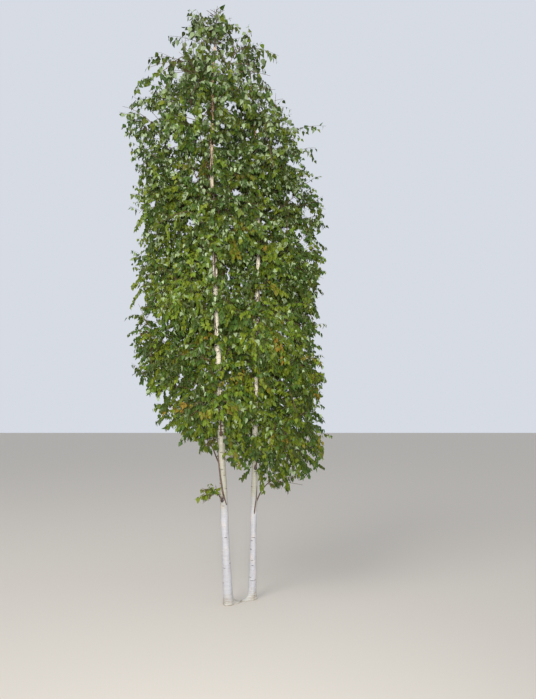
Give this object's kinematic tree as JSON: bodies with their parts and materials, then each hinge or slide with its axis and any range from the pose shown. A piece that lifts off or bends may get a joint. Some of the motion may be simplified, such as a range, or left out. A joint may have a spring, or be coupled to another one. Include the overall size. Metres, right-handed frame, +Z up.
{
  "type": "birch tree",
  "caption": "Twin-stemmed white-barked tree from one root collar, with thin ascending boughs and a tall narrow crown of small drooping leaves.",
  "frame": {"origin": "centre of the main stem's flat foot, at ground level", "axes": "+Z up; the second stem stands to +X and a little to +Y of the main one; the picture looks along +Y"},
  "size_m": [2.0721, 1.7155, 5.8465],
  "materials": {
    "white_bark": "matt papery bark with dark flecks",
    "dark_bark": "satin young bark",
    "foliage": "satin leaves, a few turned yellow"
  },
  "bodies": {
    "root": {"stem_main": "white_bark", "stem_second": "white_bark", "bough_main_01": "dark_bark", "foliage_main_01": "foliage", "bough_main_02": "dark_bark", "foliage_main_02": "foliage", "bough_main_03": "dark_bark", "foliage_main_03": "foliage", "bough_main_04": "dark_bark", "foliage_main_04": "foliage", "bough_main_05": "dark_bark", "foliage_main_05": "foliage", "bough_main_06": "dark_bark", "foliage_main_06": "foliage", "bough_main_07": "dark_bark", "foliage_main_07": "foliage", "bough_main_08": "dark_bark", "foliage_main_08": "foliage", "bough_main_09": "dark_bark", "foliage_main_09": "foliage", "bough_main_10": "dark_bark", "foliage_main_10": "foliage", "bough_main_11": "dark_bark", "foliage_main_11": "foliage", "bough_main_12": "dark_bark", "foliage_main_12": "foliage", "bough_main_13": "dark_bark", "foliage_main_13": "foliage", "bough_main_14": "dark_bark", "foliage_main_14": "foliage", "bough_main_15": "dark_bark", "foliage_main_15": "foliage", "foliage_main_top": "foliage", "bough_second_01": "dark_bark", "foliage_second_01": "foliage", "bough_second_02": "dark_bark", "foliage_second_02": "foliage", "bough_second_03": "dark_bark", "foliage_second_03": "foliage", "bough_second_04": "dark_bark", "foliage_second_04": "foliage", "bough_second_05": "dark_bark", "foliage_second_05": "foliage", "bough_second_06": "dark_bark", "foliage_second_06": "foliage", "bough_second_07": "dark_bark", "foliage_second_07": "foliage", "bough_second_08": "dark_bark", "foliage_second_08": "foliage", "bough_second_09": "dark_bark", "foliage_second_09": "foliage", "bough_second_10": "dark_bark", "foliage_second_10": "foliage", "bough_second_11": "dark_bark", "foliage_second_11": "foliage", "bough_second_12": "dark_bark", "foliage_second_12": "foliage", "bough_second_13": "dark_bark", "foliage_second_13": "foliage", "foliage_second_top": "foliage"}
  },
  "joints": []
}
